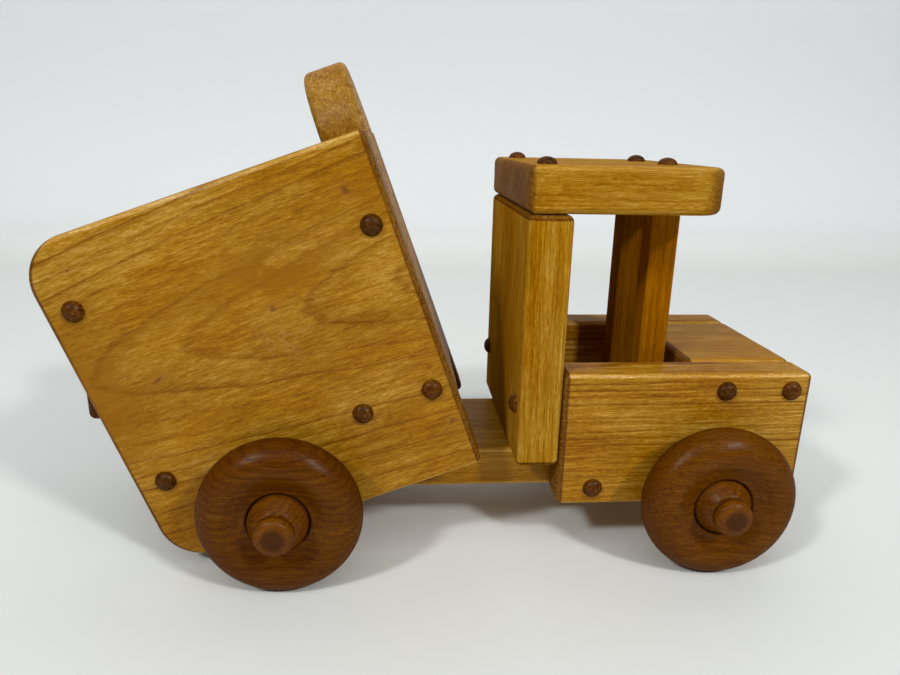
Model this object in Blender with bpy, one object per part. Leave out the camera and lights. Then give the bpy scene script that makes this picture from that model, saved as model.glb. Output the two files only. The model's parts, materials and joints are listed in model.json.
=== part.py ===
"""Wooden toy dump truck: pegged cab and chassis, tipping bed with a swinging tailgate, four turned wheels.

The truck points along +X, +Y is its left side and +Z is up, with the table at z = 0. The bed is shown
tipped back on its stop, as far as it goes. Lengths are in millimetres, and become metres when a mesh is
made.
"""

import math

import bmesh
import bpy
from mathutils import Matrix, Vector

MM = 0.001
GAP = 0.3                       # clearance between pieces that touch
SMOOTH_ANGLE = math.radians(40.0)

# Stock and common sizes
STOCK = 19.0                    # thickness of every board
EDGE_ROUND = 3.0                # rounding of the long edges of a board
EDGE_STEPS = 2
CORNER_STEPS = 8                # facets of a quarter turn on a board's corner
ARCH_STEPS = 20
POST_EDGE_ROUND = 1.2
PEG_RADIUS = 4.3
PEG_DOME = 3.0                  # how far a peg's domed end stands out
PEG_DEPTH = 17.0                # how far a peg goes into the board behind
PEG_SIDES = 12
PEG_DOME_ANGLES = (30.0, 60.0)
HOLE_SIDES = 16

# Wheels and axle pegs
WHEEL_RADIUS = 34.0
WHEEL_HALF = 9.5
TYRE_RADIAL = 10.0              # half width of the tyre's round section, seen from the side
RECESS_RADIUS = 13.0
RECESS_RIM = 6.0                # height of the recess's rim over the wheel's middle plane
RECESS_FLOOR = 1.0
WHEEL_SIDES = 48
TYRE_STEPS = 8
DISH_SHARES = (0.35, 0.7)       # rings between the tyre's crest and the recess's rim
WASHER_SIDES = 24
WASHER_RADIUS = 12.3            # a hub washer's root, which tapers to the head of its axle peg
WASHER_TAPER = ((12.3, 6.1), (11.9, 6.9), (8.6, 11.9), (8.1, 12.4))     # radius, height over the middle plane
WASHER_PLAY = {"rear": 1.6, "front": 0.0}               # how far a washer has slid out along its axle peg
AXLE_RADIUS = 4.75
AXLE_HEAD_RADIUS = 7.95
AXLE_HEAD_LENGTH = 5.0
AXLE_HEAD_FOOT = ((0.4, 0.0), (0.0, 0.4))               # in from the rim, up from the inner face
AXLE_HEAD_EDGE = ((0.0, 2.6), (0.5, 1.4), (1.9, 0.5), (3.6, 0.1))   # in from the rim, down from the end
AXLE_GRIP = 26.0                # how far an axle peg goes into the chassis
RUNNING_GAP = 0.4
REAR_WHEEL_OUT = 16.3           # a wheel's middle plane, out from the body's side
FRONT_WHEEL_OUT = 12.2
DRILL_SPARE = 1.0               # how much deeper a blind hole is than its peg

# Chassis, hood and cab
BODY_WIDTH = 105.0
WHEELBASE = 188.5
TAIL = 15.7                     # chassis end behind the rear axle
GROUND_GAP = 26.0               # underside of the chassis and the hood over the table
HOOD_BACK = 119.7               # from the rear axle, as are the next lengths
NOSE = 231.0
HOOD_TOP = 88.5                 # heights are over the table
HOOD_BOARD_BACK = 181.5
PANEL_BACK = 100.3
ROOF_UNDERSIDE = 156.0
ROOF_FRONT = 183.0
ROOF_CORNER = 13.0
POST_SIZE = 12.6
POST_X = 166.9
POST_Y = 20.4
HOOD_PEGS = ((192.0, 80.5), (221.6, 80.5), (135.6, 34.6))
BACK_PEG_HEIGHT = 72.2
ROOF_PEG_BACK_Y = 35.8

# Tipping bed, measured from the rear axle in the bed's own frame: u forward along the floor, v up from it
BED_TILT = 19.7                 # degrees, tipped back
BED_WIDTH = 108.0
BED_BACK = -57.2
BED_FRONT = 85.2
BED_BOTTOM = -15.0
BED_TOP = 132.5
BED_CORNER = 19.0
FLOOR_MIDDLE = 24.8
FRONT_PANEL_BOTTOM = 11.5
ARCH_TOP = 162.3
BED_PEGS = ((75.5, 97.5), (75.5, 25.0), (44.8, 24.8), (-43.7, 24.8))
GATE_U = -45.2
GATE_V = 103.8
GATE_ABOVE = 10.0               # tailgate above and below its pivot
GATE_BELOW = 54.5
GATE_PLAY = 0.8                 # clearance between the tailgate and each bed side

# The rear axle's place in the truck's frame: the overall length is centred on x = 0
BED_REACH = (BED_CORNER
             - (BED_BACK + BED_CORNER) * math.cos(math.radians(BED_TILT))
             + (BED_TOP - BED_CORNER) * math.sin(math.radians(BED_TILT)))
REAR_AXLE_X = (BED_REACH - NOSE) / 2
FRONT_AXLE_X = REAR_AXLE_X + WHEELBASE
AXLE_Z = WHEEL_RADIUS
REAR_WHEEL_Y = BODY_WIDTH / 2 + REAR_WHEEL_OUT
FRONT_WHEEL_Y = BODY_WIDTH / 2 + FRONT_WHEEL_OUT
INNER_HALF = BODY_WIDTH / 2 - STOCK
BED_INNER_HALF = BED_WIDTH / 2 - STOCK
CHASSIS_TOP = GROUND_GAP + STOCK
SIDES = (("right", -1), ("left", 1))


def clear_scene():
    for thing in list(bpy.data.objects):
        bpy.data.objects.remove(thing, do_unlink=True)


def wood(name, colour, roughness):
    material = bpy.data.materials.new(name)
    material.use_nodes = True
    surface = material.node_tree.nodes["Principled BSDF"]
    surface.inputs["Base Color"].default_value = (*colour, 1.0)
    surface.inputs["Roughness"].default_value = roughness
    surface.inputs["Metallic"].default_value = 0.0
    return material


def add_object(name, mesh, parent=None):
    thing = bpy.data.objects.new(name, mesh)
    bpy.context.scene.collection.objects.link(thing)
    thing.parent = parent
    return thing


def add_empty(name, location, parent=None, tilt=0.0):
    """A pivot: tilt turns it about Y, in degrees, nose up."""
    pivot = add_object(name, None, parent)
    pivot.location = Vector(location) * MM
    pivot.rotation_euler = (0.0, -math.radians(tilt), 0.0)
    return pivot


def finish_piece(thing, material):
    thing.data.materials.append(material)
    thing.data.shade_smooth()
    thing.data.set_sharp_from_angle(angle=SMOOTH_ANGLE)
    return thing


def round_edges(thing, width):
    bevel = thing.modifiers.new("rounded_edges", 'BEVEL')
    bevel.width = width * MM
    bevel.segments = EDGE_STEPS
    bevel.limit_method = 'ANGLE'
    bevel.angle_limit = SMOOTH_ANGLE


def plate(name, outline, axis, start, end, material, parent=None, edge=EDGE_ROUND):
    """A board: outline is a closed list of points across axis, which the board runs along from start to end.

    For axis 'Y' the outline's points are (x, z), for 'X' they are (y, z) and for 'Z' they are (x, y).
    """
    def place(a, b, along):
        return {'X': (along, a, b), 'Y': (a, along, b), 'Z': (a, b, along)}[axis]

    shape = bmesh.new()
    ring = [shape.verts.new(Vector(place(a, b, start)) * MM) for a, b in outline]
    face = shape.faces.new(ring)
    grown = bmesh.ops.extrude_face_region(shape, geom=[face])["geom"]
    moved = [part for part in grown if isinstance(part, bmesh.types.BMVert)]
    bmesh.ops.translate(shape, verts=moved, vec=Vector(place(0.0, 0.0, end - start)) * MM)
    bmesh.ops.recalc_face_normals(shape, faces=shape.faces)
    mesh = bpy.data.meshes.new(name)
    shape.to_mesh(mesh)
    shape.free()
    board = finish_piece(add_object(name, mesh, parent), material)
    round_edges(board, edge)
    return board


def rectangle(left, right, low, high):
    return [(left, low), (right, low), (right, high), (left, high)]


def arc(centre_a, centre_b, radius, from_angle, to_angle, steps):
    points = []
    for step in range(steps + 1):
        angle = math.radians(from_angle + (to_angle - from_angle) * step / steps)
        points.append((centre_a + radius * math.cos(angle), centre_b + radius * math.sin(angle)))
    return points


def along_y(side):
    """Turns a piece made along +Z so that it points out of the given side."""
    return Matrix.Rotation(-side * math.pi / 2, 4, 'X')


def turned(name, profile, sides, material, parent=None):
    """A turned piece about its own Z. The profile is a list of (radius, height), from the bottom upwards.

    A profile that starts and ends off the axis closes on itself round a bore.
    """
    shape = bmesh.new()
    rings = []
    for radius, height in profile:
        if radius == 0.0:
            rings.append([shape.verts.new((0.0, 0.0, height * MM))])
            continue
        ring = []
        for side in range(sides):
            angle = 2 * math.pi * side / sides
            point = Vector((radius * math.cos(angle), radius * math.sin(angle), height))
            ring.append(shape.verts.new(point * MM))
        rings.append(ring)
    pairs = list(zip(rings, rings[1:]))
    if profile[0][0] > 0.0:
        pairs.append((rings[-1], rings[0]))
    for low, high in pairs:
        for side in range(sides):
            following = (side + 1) % sides
            corners = [low[side % len(low)], low[following % len(low)],
                       high[following % len(high)], high[side % len(high)]]
            shape.faces.new(list(dict.fromkeys(corners)))
    bmesh.ops.recalc_face_normals(shape, faces=shape.faces)
    mesh = bpy.data.meshes.new(name)
    shape.to_mesh(mesh)
    shape.free()
    return finish_piece(add_object(name, mesh, parent), material)


def drill(board, holes):
    """Drills round holes, each (place, direction, radius, depth), with the place on the drilled surface."""
    shape = bmesh.new()
    for place, direction, radius, depth in holes:
        heading = Vector(direction).normalized()
        turn = heading.to_track_quat('Z', 'Y').to_matrix().to_4x4()
        middle = Vector(place) + heading * (depth - STOCK) / 2
        move = Matrix.Translation(middle * MM)
        bmesh.ops.create_cone(shape, cap_ends=True, segments=HOLE_SIDES, radius1=radius * MM,
                              radius2=radius * MM, depth=(depth + STOCK) * MM, matrix=move @ turn)
    mesh = bpy.data.meshes.new(board.name + "_drill")
    shape.to_mesh(mesh)
    shape.free()
    cutter = add_object(board.name + "_drill", mesh, board.parent)
    cutter.hide_render = True
    cutter.display_type = 'WIRE'
    cut = board.modifiers.new("holes", 'BOOLEAN')
    cut.operation = 'DIFFERENCE'
    cut.solver = 'EXACT'
    cut.object = cutter


def peg(name, place, direction, length, material, parent=None):
    """A domed peg whose place is on the surface that it stands out of and whose direction points outwards."""
    profile = [(0.0, -length), (PEG_RADIUS, -length), (PEG_RADIUS, 0.0)]
    profile += [(PEG_RADIUS * math.cos(math.radians(angle)), PEG_DOME * math.sin(math.radians(angle)))
                for angle in PEG_DOME_ANGLES]
    profile.append((0.0, PEG_DOME))
    piece = turned(name, profile, PEG_SIDES, material, parent)
    piece.location = Vector(place) * MM
    piece.rotation_mode = 'QUATERNION'
    piece.rotation_quaternion = Vector(direction).to_track_quat('Z', 'Y')
    return piece


def wheel_profile():
    """From the bore's inner end: flat back, round tyre, dished face, recess and back to the bore."""
    crest = WHEEL_RADIUS - TYRE_RADIAL
    bore = AXLE_RADIUS + RUNNING_GAP
    profile = [(bore, -WHEEL_HALF)]
    tyre = arc(0, 0, 1, -90, 90, TYRE_STEPS)
    profile += [(crest + TYRE_RADIAL * across, WHEEL_HALF * out) for across, out in tyre]
    for share in DISH_SHARES:
        ease = (1 - math.cos(math.pi * share)) / 2
        radius = crest + (RECESS_RADIUS - crest) * share
        profile.append((radius, WHEEL_HALF + (RECESS_RIM - WHEEL_HALF) * ease))
    profile += [(RECESS_RADIUS, RECESS_RIM), (RECESS_RADIUS, RECESS_FLOOR), (bore, RECESS_FLOOR)]
    return profile


def washer_profile():
    bore = AXLE_RADIUS + RUNNING_GAP
    bottom = RECESS_FLOOR + GAP
    face = WASHER_TAPER[-1][1]
    return [(bore, bottom), (WASHER_RADIUS, bottom), *WASHER_TAPER, (bore, face)]


def axle_profile(shank):
    """From the buried tip out to the head; the head's inner face is at height 0."""
    profile = [(0.0, -shank), (AXLE_RADIUS, -shank), (AXLE_RADIUS, 0.0)]
    profile += [(AXLE_HEAD_RADIUS - inward, up) for inward, up in AXLE_HEAD_FOOT]
    profile += [(AXLE_HEAD_RADIUS - inward, AXLE_HEAD_LENGTH - down) for inward, down in AXLE_HEAD_EDGE]
    profile.append((0.0, AXLE_HEAD_LENGTH))
    return profile


def build_chassis(light_wood):
    """One board from behind the rear axle to the nose, between the hood sides, drilled across for pegs."""
    half = INNER_HALF - GAP
    outline = rectangle(REAR_AXLE_X - TAIL, REAR_AXLE_X + NOSE, GROUND_GAP, CHASSIS_TOP)
    board = plate("chassis_board", outline, 'Y', -half, half, light_wood)
    peg_x, peg_z = HOOD_PEGS[2]
    holes = []
    for _, side in SIDES:
        inwards = (0, -side, 0)
        for axle_x in (REAR_AXLE_X, FRONT_AXLE_X):
            at = (axle_x, side * half, AXLE_Z)
            holes.append((at, inwards, AXLE_RADIUS + GAP, AXLE_GRIP + DRILL_SPARE))
        at = (REAR_AXLE_X + peg_x, side * half, peg_z)
        holes.append((at, inwards, PEG_RADIUS + GAP, PEG_DEPTH + DRILL_SPARE))
    drill(board, holes)


def build_hood(light_wood, dark_wood):
    outer = BODY_WIDTH / 2
    for hand, side in SIDES:
        outline = rectangle(REAR_AXLE_X + HOOD_BACK, REAR_AXLE_X + NOSE, GROUND_GAP, HOOD_TOP)
        board = plate("hood_side_" + hand, outline, 'Y', side * outer, side * INNER_HALF, light_wood)
        holes = [((REAR_AXLE_X + x, side * outer, z), (0, -side, 0), PEG_RADIUS + GAP, STOCK * 2)
                 for x, z in HOOD_PEGS]
        holes.append(((FRONT_AXLE_X, side * outer, AXLE_Z), (0, -side, 0), AXLE_RADIUS + GAP, STOCK * 2))
        back_middle = side * (outer - STOCK / 2)
        holes.append(((REAR_AXLE_X + HOOD_BACK, back_middle, BACK_PEG_HEIGHT), (1, 0, 0),
                      PEG_RADIUS + GAP, PEG_DEPTH + DRILL_SPARE))
        drill(board, holes)
        for number, (x, z) in enumerate(HOOD_PEGS, 1):
            peg("hood_peg_%s_%d" % (hand, number), (REAR_AXLE_X + x, side * outer, z), (0, side, 0),
                STOCK + PEG_DEPTH, dark_wood)
    half = INNER_HALF - GAP
    outline = rectangle(REAR_AXLE_X + HOOD_BOARD_BACK, REAR_AXLE_X + NOSE, HOOD_TOP - STOCK, HOOD_TOP)
    top = plate("hood_top_board", outline, 'Y', -half, half, light_wood)
    drill(top, [((REAR_AXLE_X + x, side * half, z), (0, -side, 0), PEG_RADIUS + GAP, PEG_DEPTH + DRILL_SPARE)
                for _, side in SIDES for x, z in HOOD_PEGS[:2]])


def build_cab(light_wood, dark_wood):
    outer = BODY_WIDTH / 2
    back = REAR_AXLE_X + PANEL_BACK
    panel_middle = back + STOCK / 2
    roof_top = ROOF_UNDERSIDE + STOCK
    post_x = REAR_AXLE_X + POST_X

    outline = rectangle(-outer, outer, CHASSIS_TOP + GAP, ROOF_UNDERSIDE - GAP)
    panel = plate("cab_back_panel", outline, 'X', back, back + STOCK, light_wood)
    holes = []
    for hand, side in SIDES:
        at = (back, side * (outer - STOCK / 2), BACK_PEG_HEIGHT)
        holes.append((at, (1, 0, 0), PEG_RADIUS + GAP, STOCK * 2))
        peg("back_panel_peg_" + hand, at, (-1, 0, 0), STOCK + PEG_DEPTH, dark_wood)
        holes.append(((panel_middle, side * ROOF_PEG_BACK_Y, ROOF_UNDERSIDE - GAP), (0, 0, -1),
                      PEG_RADIUS + GAP, PEG_DEPTH + DRILL_SPARE))
    drill(panel, holes)

    front = REAR_AXLE_X + ROOF_FRONT
    corner = ROOF_CORNER
    outline = [(back, -outer)]
    outline += arc(front - corner, corner - outer, corner, -90, 0, CORNER_STEPS)
    outline += arc(front - corner, outer - corner, corner, 0, 90, CORNER_STEPS)
    outline.append((back, outer))
    roof = plate("cab_roof", outline, 'Z', ROOF_UNDERSIDE, roof_top, light_wood)
    places = []
    for hand, side in SIDES:
        places.append(("roof_peg_back_" + hand, (panel_middle, side * ROOF_PEG_BACK_Y, roof_top)))
        places.append(("roof_peg_front_" + hand, (post_x, side * POST_Y, roof_top)))
    drill(roof, [(at, (0, 0, -1), PEG_RADIUS + GAP, STOCK * 2) for _, at in places])
    for name, at in places:
        peg(name, at, (0, 0, 1), STOCK + PEG_DEPTH, dark_wood)

    half = POST_SIZE / 2
    for hand, side in SIDES:
        outline = rectangle(post_x - half, post_x + half, side * POST_Y - half, side * POST_Y + half)
        post = plate("windshield_post_" + hand, outline, 'Z', CHASSIS_TOP + GAP, ROOF_UNDERSIDE - GAP,
                     light_wood, edge=POST_EDGE_ROUND)
        at = (post_x, side * POST_Y, ROOF_UNDERSIDE - GAP)
        drill(post, [(at, (0, 0, -1), PEG_RADIUS + GAP, PEG_DEPTH + DRILL_SPARE)])


def build_wheels(dark_wood):
    """Wheels with their hub washers, and the fixed axle pegs that they turn on."""
    axles = (("rear", REAR_AXLE_X, REAR_WHEEL_Y), ("front", FRONT_AXLE_X, FRONT_WHEEL_Y))
    for end, axle_x, wheel_y in axles:
        for hand, side in SIDES:
            name = "%s_%s" % (end, hand)
            centre = Matrix.Translation(Vector((axle_x, side * wheel_y, AXLE_Z)) * MM)
            wheel = turned("wheel_" + name, wheel_profile(), WHEEL_SIDES, dark_wood)
            wheel.matrix_world = centre @ along_y(side)
            slid = Matrix.Translation((0.0, side * WASHER_PLAY[end] * MM, 0.0))
            washer = turned("hub_washer_" + name, washer_profile(), WASHER_SIDES, dark_wood)
            washer.matrix_world = slid @ centre @ along_y(side)
            head_y = wheel_y + WASHER_PLAY[end] + WASHER_TAPER[-1][1] + RUNNING_GAP
            shank = head_y - INNER_HALF + AXLE_GRIP
            axle = turned("axle_peg_" + name, axle_profile(shank), HOLE_SIDES, dark_wood)
            head = Matrix.Translation(Vector((axle_x, side * head_y, AXLE_Z)) * MM)
            axle.matrix_world = head @ along_y(side)


def bed_side_outline():
    """Square corners at the front and large round ones at the back."""
    corner = BED_CORNER
    outline = [(BED_FRONT, BED_BOTTOM), (BED_FRONT, BED_TOP)]
    outline += arc(BED_BACK + corner, BED_TOP - corner, corner, 90, 180, CORNER_STEPS)
    outline += arc(BED_BACK + corner, BED_BOTTOM + corner, corner, 180, 270, CORNER_STEPS)
    return outline


def front_panel_outline(half):
    """A board with a round arch on top, as wide as the board."""
    outline = [(-half, FRONT_PANEL_BOTTOM), (half, FRONT_PANEL_BOTTOM)]
    outline += arc(0, ARCH_TOP - half, half, 0, 180, ARCH_STEPS)
    return outline


def build_bed(pivot, light_wood, dark_wood):
    outer = BED_WIDTH / 2
    half = BED_INNER_HALF - GAP
    for hand, side in SIDES:
        board = plate("bed_side_" + hand, bed_side_outline(), 'Y', side * outer, side * BED_INNER_HALF,
                      light_wood, pivot)
        places = list(BED_PEGS) + [(GATE_U, GATE_V)]
        holes = [((u, side * outer, v), (0, -side, 0), PEG_RADIUS + GAP, STOCK * 2) for u, v in places]
        holes.append(((0, side * outer, 0), (0, -side, 0), AXLE_RADIUS + RUNNING_GAP, STOCK * 2))
        drill(board, holes)
        for number, (u, v) in enumerate(BED_PEGS, 1):
            peg("bed_peg_%s_%d" % (hand, number), (u, side * outer, v), (0, side, 0), STOCK + PEG_DEPTH,
                dark_wood, pivot)
        peg("tailgate_pivot_peg_" + hand, (GATE_U, side * outer, GATE_V), (0, side, 0), STOCK + PEG_DEPTH,
            dark_wood, pivot)

    panel_back = BED_FRONT - STOCK
    outline = rectangle(BED_BACK, panel_back - GAP, FLOOR_MIDDLE - STOCK / 2, FLOOR_MIDDLE + STOCK / 2)
    floor = plate("bed_floor", outline, 'Y', -half, half, light_wood, pivot)
    outline = front_panel_outline(half)
    panel = plate("bed_front_panel", outline, 'X', panel_back, BED_FRONT, light_wood, pivot)
    for board, places in ((panel, BED_PEGS[:2]), (floor, BED_PEGS[2:])):
        drill(board, [((u, side * half, v), (0, -side, 0), PEG_RADIUS + GAP, PEG_DEPTH + DRILL_SPARE)
                      for _, side in SIDES for u, v in places])


def build_tailgate(pivot, dark_wood):
    """Hangs plumb on the two pivot pegs, between the bed sides."""
    half = BED_INNER_HALF - GATE_PLAY
    outline = rectangle(-STOCK / 2, STOCK / 2, -GATE_BELOW, GATE_ABOVE)
    gate = plate("tailgate", outline, 'Y', -half, half, dark_wood, pivot)
    drill(gate, [((0, side * half, 0), (0, -side, 0), PEG_RADIUS + RUNNING_GAP, PEG_DEPTH + DRILL_SPARE)
                 for _, side in SIDES])


def main():
    clear_scene()
    light_wood = wood("oiled_light_hardwood", (0.46, 0.24, 0.045), 0.45)
    dark_wood = wood("reddish_brown_hardwood", (0.15, 0.045, 0.014), 0.42)
    build_chassis(light_wood)
    build_hood(light_wood, dark_wood)
    build_cab(light_wood, dark_wood)
    build_wheels(dark_wood)
    bed_pivot = add_empty("bed_pivot", (REAR_AXLE_X, 0, AXLE_Z), tilt=BED_TILT)
    build_bed(bed_pivot, light_wood, dark_wood)
    gate_pivot = add_empty("tailgate_pivot", (GATE_U, 0, GATE_V), bed_pivot, tilt=-BED_TILT)
    build_tailgate(gate_pivot, dark_wood)


main()
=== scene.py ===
"""Looks of the wooden toy dump truck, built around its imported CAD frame.

The truck points along +X, +Y is its left side and +Z is up, with the table at z = 0. Lengths are in
metres, unless a name or comment says millimetres. Colours are linear.
"""

import json
import math

import bmesh
import bpy
from mathutils import Matrix, Vector


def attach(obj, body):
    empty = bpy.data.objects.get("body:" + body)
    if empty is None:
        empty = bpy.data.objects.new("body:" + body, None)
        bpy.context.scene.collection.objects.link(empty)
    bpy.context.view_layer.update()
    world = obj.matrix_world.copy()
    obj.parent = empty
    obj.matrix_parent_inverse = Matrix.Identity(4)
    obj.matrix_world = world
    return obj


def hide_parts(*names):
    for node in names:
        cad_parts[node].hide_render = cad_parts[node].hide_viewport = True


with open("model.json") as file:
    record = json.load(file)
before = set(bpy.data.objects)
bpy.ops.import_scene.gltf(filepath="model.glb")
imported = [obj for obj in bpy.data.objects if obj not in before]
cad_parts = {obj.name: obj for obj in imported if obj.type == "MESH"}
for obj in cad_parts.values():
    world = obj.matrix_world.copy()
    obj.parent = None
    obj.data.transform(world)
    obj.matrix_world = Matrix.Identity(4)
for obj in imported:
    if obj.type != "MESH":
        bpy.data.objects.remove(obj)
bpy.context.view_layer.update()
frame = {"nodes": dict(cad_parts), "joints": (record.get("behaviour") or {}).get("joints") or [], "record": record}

MM = 0.001
SIDES = (("right", -1), ("left", 1))

# Boards and pegs
EDGE_ROUND = 3.0 * MM           # rounding of the boards' edges
POST_EDGE_ROUND = 1.2 * MM
EDGE_STEPS = 6
EDGE_ANGLE = math.radians(35.0)
CORNER_STEPS = 24
ARCH_STEPS = 72
ROOF_CORNER = 13.0 * MM
BED_CORNER = 19.0 * MM
HOLE_GAP = 0.12 * MM            # round each peg
HOLE_SIDES = 40
HOLE_SPARE = 2.0 * MM           # how much longer a hole's cutter is than its peg
PEG_SIDES = 40
PEG_DOME = 3.0 * MM
DOME_STEPS = 10

# Axle pegs
AXLE_SIDES = 80
AXLE_RADIUS = 4.75 * MM
AXLE_HEAD_LENGTH = 5.0 * MM
AXLE_HEAD_EDGE = 1.9 * MM       # bevel of the head, in from its rim and down from its end
AXLE_HEAD_CROWN = 0.25 * MM     # rise of the head's end inside the bevel
AXLE_ROUND_STEPS = 7

# Wheels and hub washers
WHEEL_SIDES = 128
WHEEL_HALF = 9.5 * MM
RUNNING_GAP = 0.4 * MM
TYRE_RADIAL = 10.0 * MM         # how far the tyre's round section reaches in from the rim
TYRE_STEPS = 32
DISH_STEPS = 14
DISH_SWEEP = 0.86               # share of a cosine's fall that the dished face uses
RECESS_RADIUS = 13.0 * MM
RECESS_RIM = 6.0 * MM
RECESS_FLOOR = 1.0 * MM
RECESS_LIP = 0.8 * MM           # rounding of the recess's rim
LIP_ANGLES = (0.0, 0.5, 1.0, math.pi / 2)
WASHER_TAPER = 6.0 * MM         # height of a hub washer's tapered part
WASHER_TOP_RADIUS = 8.3 * MM
WASHER_BULGE = 0.25 * MM
WASHER_BULGE_HEIGHT = 0.52      # share of the taper
WASHER_UNDERCUT = 0.2 * MM      # how much narrower the washer's foot is than its root
WASHER_GROOVE = 0.55 * MM       # dark line between a washer and the axle peg's head
ROUND_STEPS = 5

# Woods
LIGHT_WOOD = {
    "Light": (0.385, 0.187, 0.0125), "Line": (0.200, 0.066, 0.0015), "Orange": (0.350, 0.146, 0.0030),
    "End": (0.120, 0.040, 0.0030), "Burnt": (0.085, 0.019, 0.0012), "Roughness": 0.55, "Blue": 4.5,
}
AMBER_WOOD = {
    "Light": (0.345, 0.125, 0.0010), "Line": (0.160, 0.045, 0.0008), "Orange": (0.290, 0.098, 0.0006),
    "End": (0.110, 0.032, 0.0010), "Burnt": (0.075, 0.016, 0.0006), "Roughness": 0.55, "Blue": 4.5,
}
DARK_WOOD = {
    "Light": (0.116, 0.0355, 0.0012), "Line": (0.042, 0.0085, 0.0003), "Orange": (0.124, 0.0370, 0.0008),
    "End": (0.048, 0.0115, 0.0006), "Burnt": (0.045, 0.0090, 0.0006), "Roughness": 0.50, "Blue": 2.6,
}
PEG_WOOD = {
    "Light": (0.155, 0.0500, 0.0020), "Line": (0.045, 0.0110, 0.0004), "Orange": (0.175, 0.0530, 0.0014),
    "End": (0.050, 0.0125, 0.0008), "Burnt": (0.050, 0.0110, 0.0006), "Roughness": 0.50, "Blue": 2.6,
}
COAT_WEIGHT = 0.22
COAT_ROUGHNESS = 0.22
RELIEF_STRENGTH = 0.6
RELIEF_DEPTH = 0.15 * MM
EDGE_FACING = (0.80, 0.985)     # a normal's largest part, from a rounded edge to a flat face

# Noises of solid wood: cells per millimetre along the fibres and across them, detail, roughness
NOISES = {
    "bend": (0.007, 0.022, 2.0, 0.5),           # of the growth rings, slow
    "ripple": (0.03, 0.2, 2.0, 0.5),            # of the growth rings, finer
    "broken": (0.012, 0.16, 2.0, 0.5),          # where the growth lines fade
    "fibre_wave": (0.09, 0.05, 1.0, 0.5),
    "fibres": (0.022, 0.80, 3.0, 0.65),
    "dashes": (0.10, 2.2, 2.0, 0.6),
    "fine": (0.36, 4.6, 2.0, 0.6),
    "pores": (0.22, 2.6, 1.0, 0.5),
    "mottle": (0.012, 0.035, 2.0, 0.5),
    "patches": (0.016, 0.050, 3.0, 0.55),       # where the wood turns to orange
    "curl": (0.55, 0.9, 2.0, 0.6),              # curly figure
    # the edge speckle below is partly wear and partly a painted highlight on the rounded edges
    "wear_and_sheen": (1.1, 2.6, 2.0, 0.6),               # speckle on the rounded edges
    "end_spots": (0.2, 1.6, 2.0, 0.6),
    "oil": (0.7, 0.7, 2.0, 0.5),                # outline of the axle pegs' dark centre
}
# Between which values a noise or slope comes in
STEPS = {
    "broken": (0.30, 0.60), "pores": (0.60, 0.72), "curl": (0.30, 0.62), "wear_and_sheen": (0.32, 0.64),
    "patches": (0.38, 0.66), "end_spots": (0.35, 0.65), "end_grain": (0.10, 0.72),
}
# Darkness through one growth ring, from its inside to its outside
LATE_WOOD = ((0.0, 0.45), (0.05, 0.0), (0.50, 0.05), (0.84, 0.42), (0.93, 1.0), (0.97, 1.0), (1.0, 0.45))
SOFT_RING_POWER = 1.6
SOFT_RING_STRENGTH = 0.75
RING_CHANCE_POWER = 1.5
RING_STRENGTH = (0.85, 0.15)                    # what chance adds, and the least
UNBROKEN_STRENGTH = (0.3, 0.7)                  # what an unbroken line adds, and the least
RIPPLE_SIZE = 1.6                               # millimetres
FIBRE_WAVE_SIZE = {"Y": 0.8, "Z": 0.6}          # millimetres
# How far each part of the grain moves the brightness
SWING = {"fibres": 1.00, "dashes": 0.78, "fine": 0.80, "curl": 0.55, "mottle": 0.75, "ring": 0.12}
# Paleness added on rounded long-grain edges: partly wear, partly a painted highlight where the edges catch the
# light
WEAR_AND_SHEEN_STRENGTH = (0.36, 0.12)                    # what the speckle adds, and the least
PORE_DARKNESS = 0.30
LINE_DARKNESS = 0.85
END_SPOT_SHARE = 0.60
END_LINE_SHARE = 0.6
BURNT_STRENGTH = 3.2                            # of the dark band between faces and end grain
GREEN_POWER = 1.5
ROUGHER = {"fibres": 0.22, "end": 0.12, "mottle": 0.16}
RELIEF = {"dashes": 0.55, "fine": 0.60, "pores": -0.5, "curl": 0.6, "lines": -0.15}

# Axle pegs' heads: the end grain in their middle has drunk more oil, and their foot, in the crease against the
# washer, gets painted shade
OIL_AND_SHADE_COLOUR = (0.040, 0.0100, 0.0010, 1.0)
OILED_REACH = 5.2                               # millimetres
OILED_RIM = (0.72, 1.25)                        # times the reach
OILED_WOBBLE = 0.9                              # millimetres
OILED_RISE = (0.0, 1.0 * MM)                    # above the head's foot
OILED_SHARE = 0.80
# Painted shade in the crease where the head's foot meets the washer, between these heights above the foot
FOOT_SHADE = (0.3 * MM, 1.2 * MM)
FOOT_SHADE_SHARE = 0.9

# Marks on the bed's right side: centre and half size (along X, along Z) in millimetres, and turn in
# degrees; stains and scuffs have a strength too
KNOTS = (
    ((-27.3, 67.1), (2.2, 0.8), 25.0),
    ((27.2, 79.1), (1.3, 1.0), 0.0),
    ((-39.9, 118.9), (0.5, 0.5), 0.0),
    ((70.7, 113.3), (1.1, 1.6), 30.0),
    ((79.0, 8.5), (1.8, 0.7), 40.0),
)
STAINS = (
    ((37.0, 96.0), (24.0, 11.0), 8.0, 0.9),
    ((-52.0, 66.0), (18.0, 26.0), 0.0, 0.7),
    ((76.0, 104.0), (10.0, 14.0), 0.0, 0.5),
    ((2.0, 92.0), (24.0, 9.0), 10.0, 0.5),
)
SCUFFS = (
    ((-38.8, 71.8), (2.2, 0.8), -25.0, 0.9),
    ((19.5, 68.5), (2.2, 7.5), 8.0, 0.7),
    ((27.0, 64.5), (2.4, 8.5), 14.0, 0.7),
    ((33.5, 66.5), (7.0, 1.8), 6.0, 0.4),
)
KNOT_COLOUR = (0.10, 0.032, 0.008, 1.0)
KNOT_SHARE = 0.8
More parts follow.
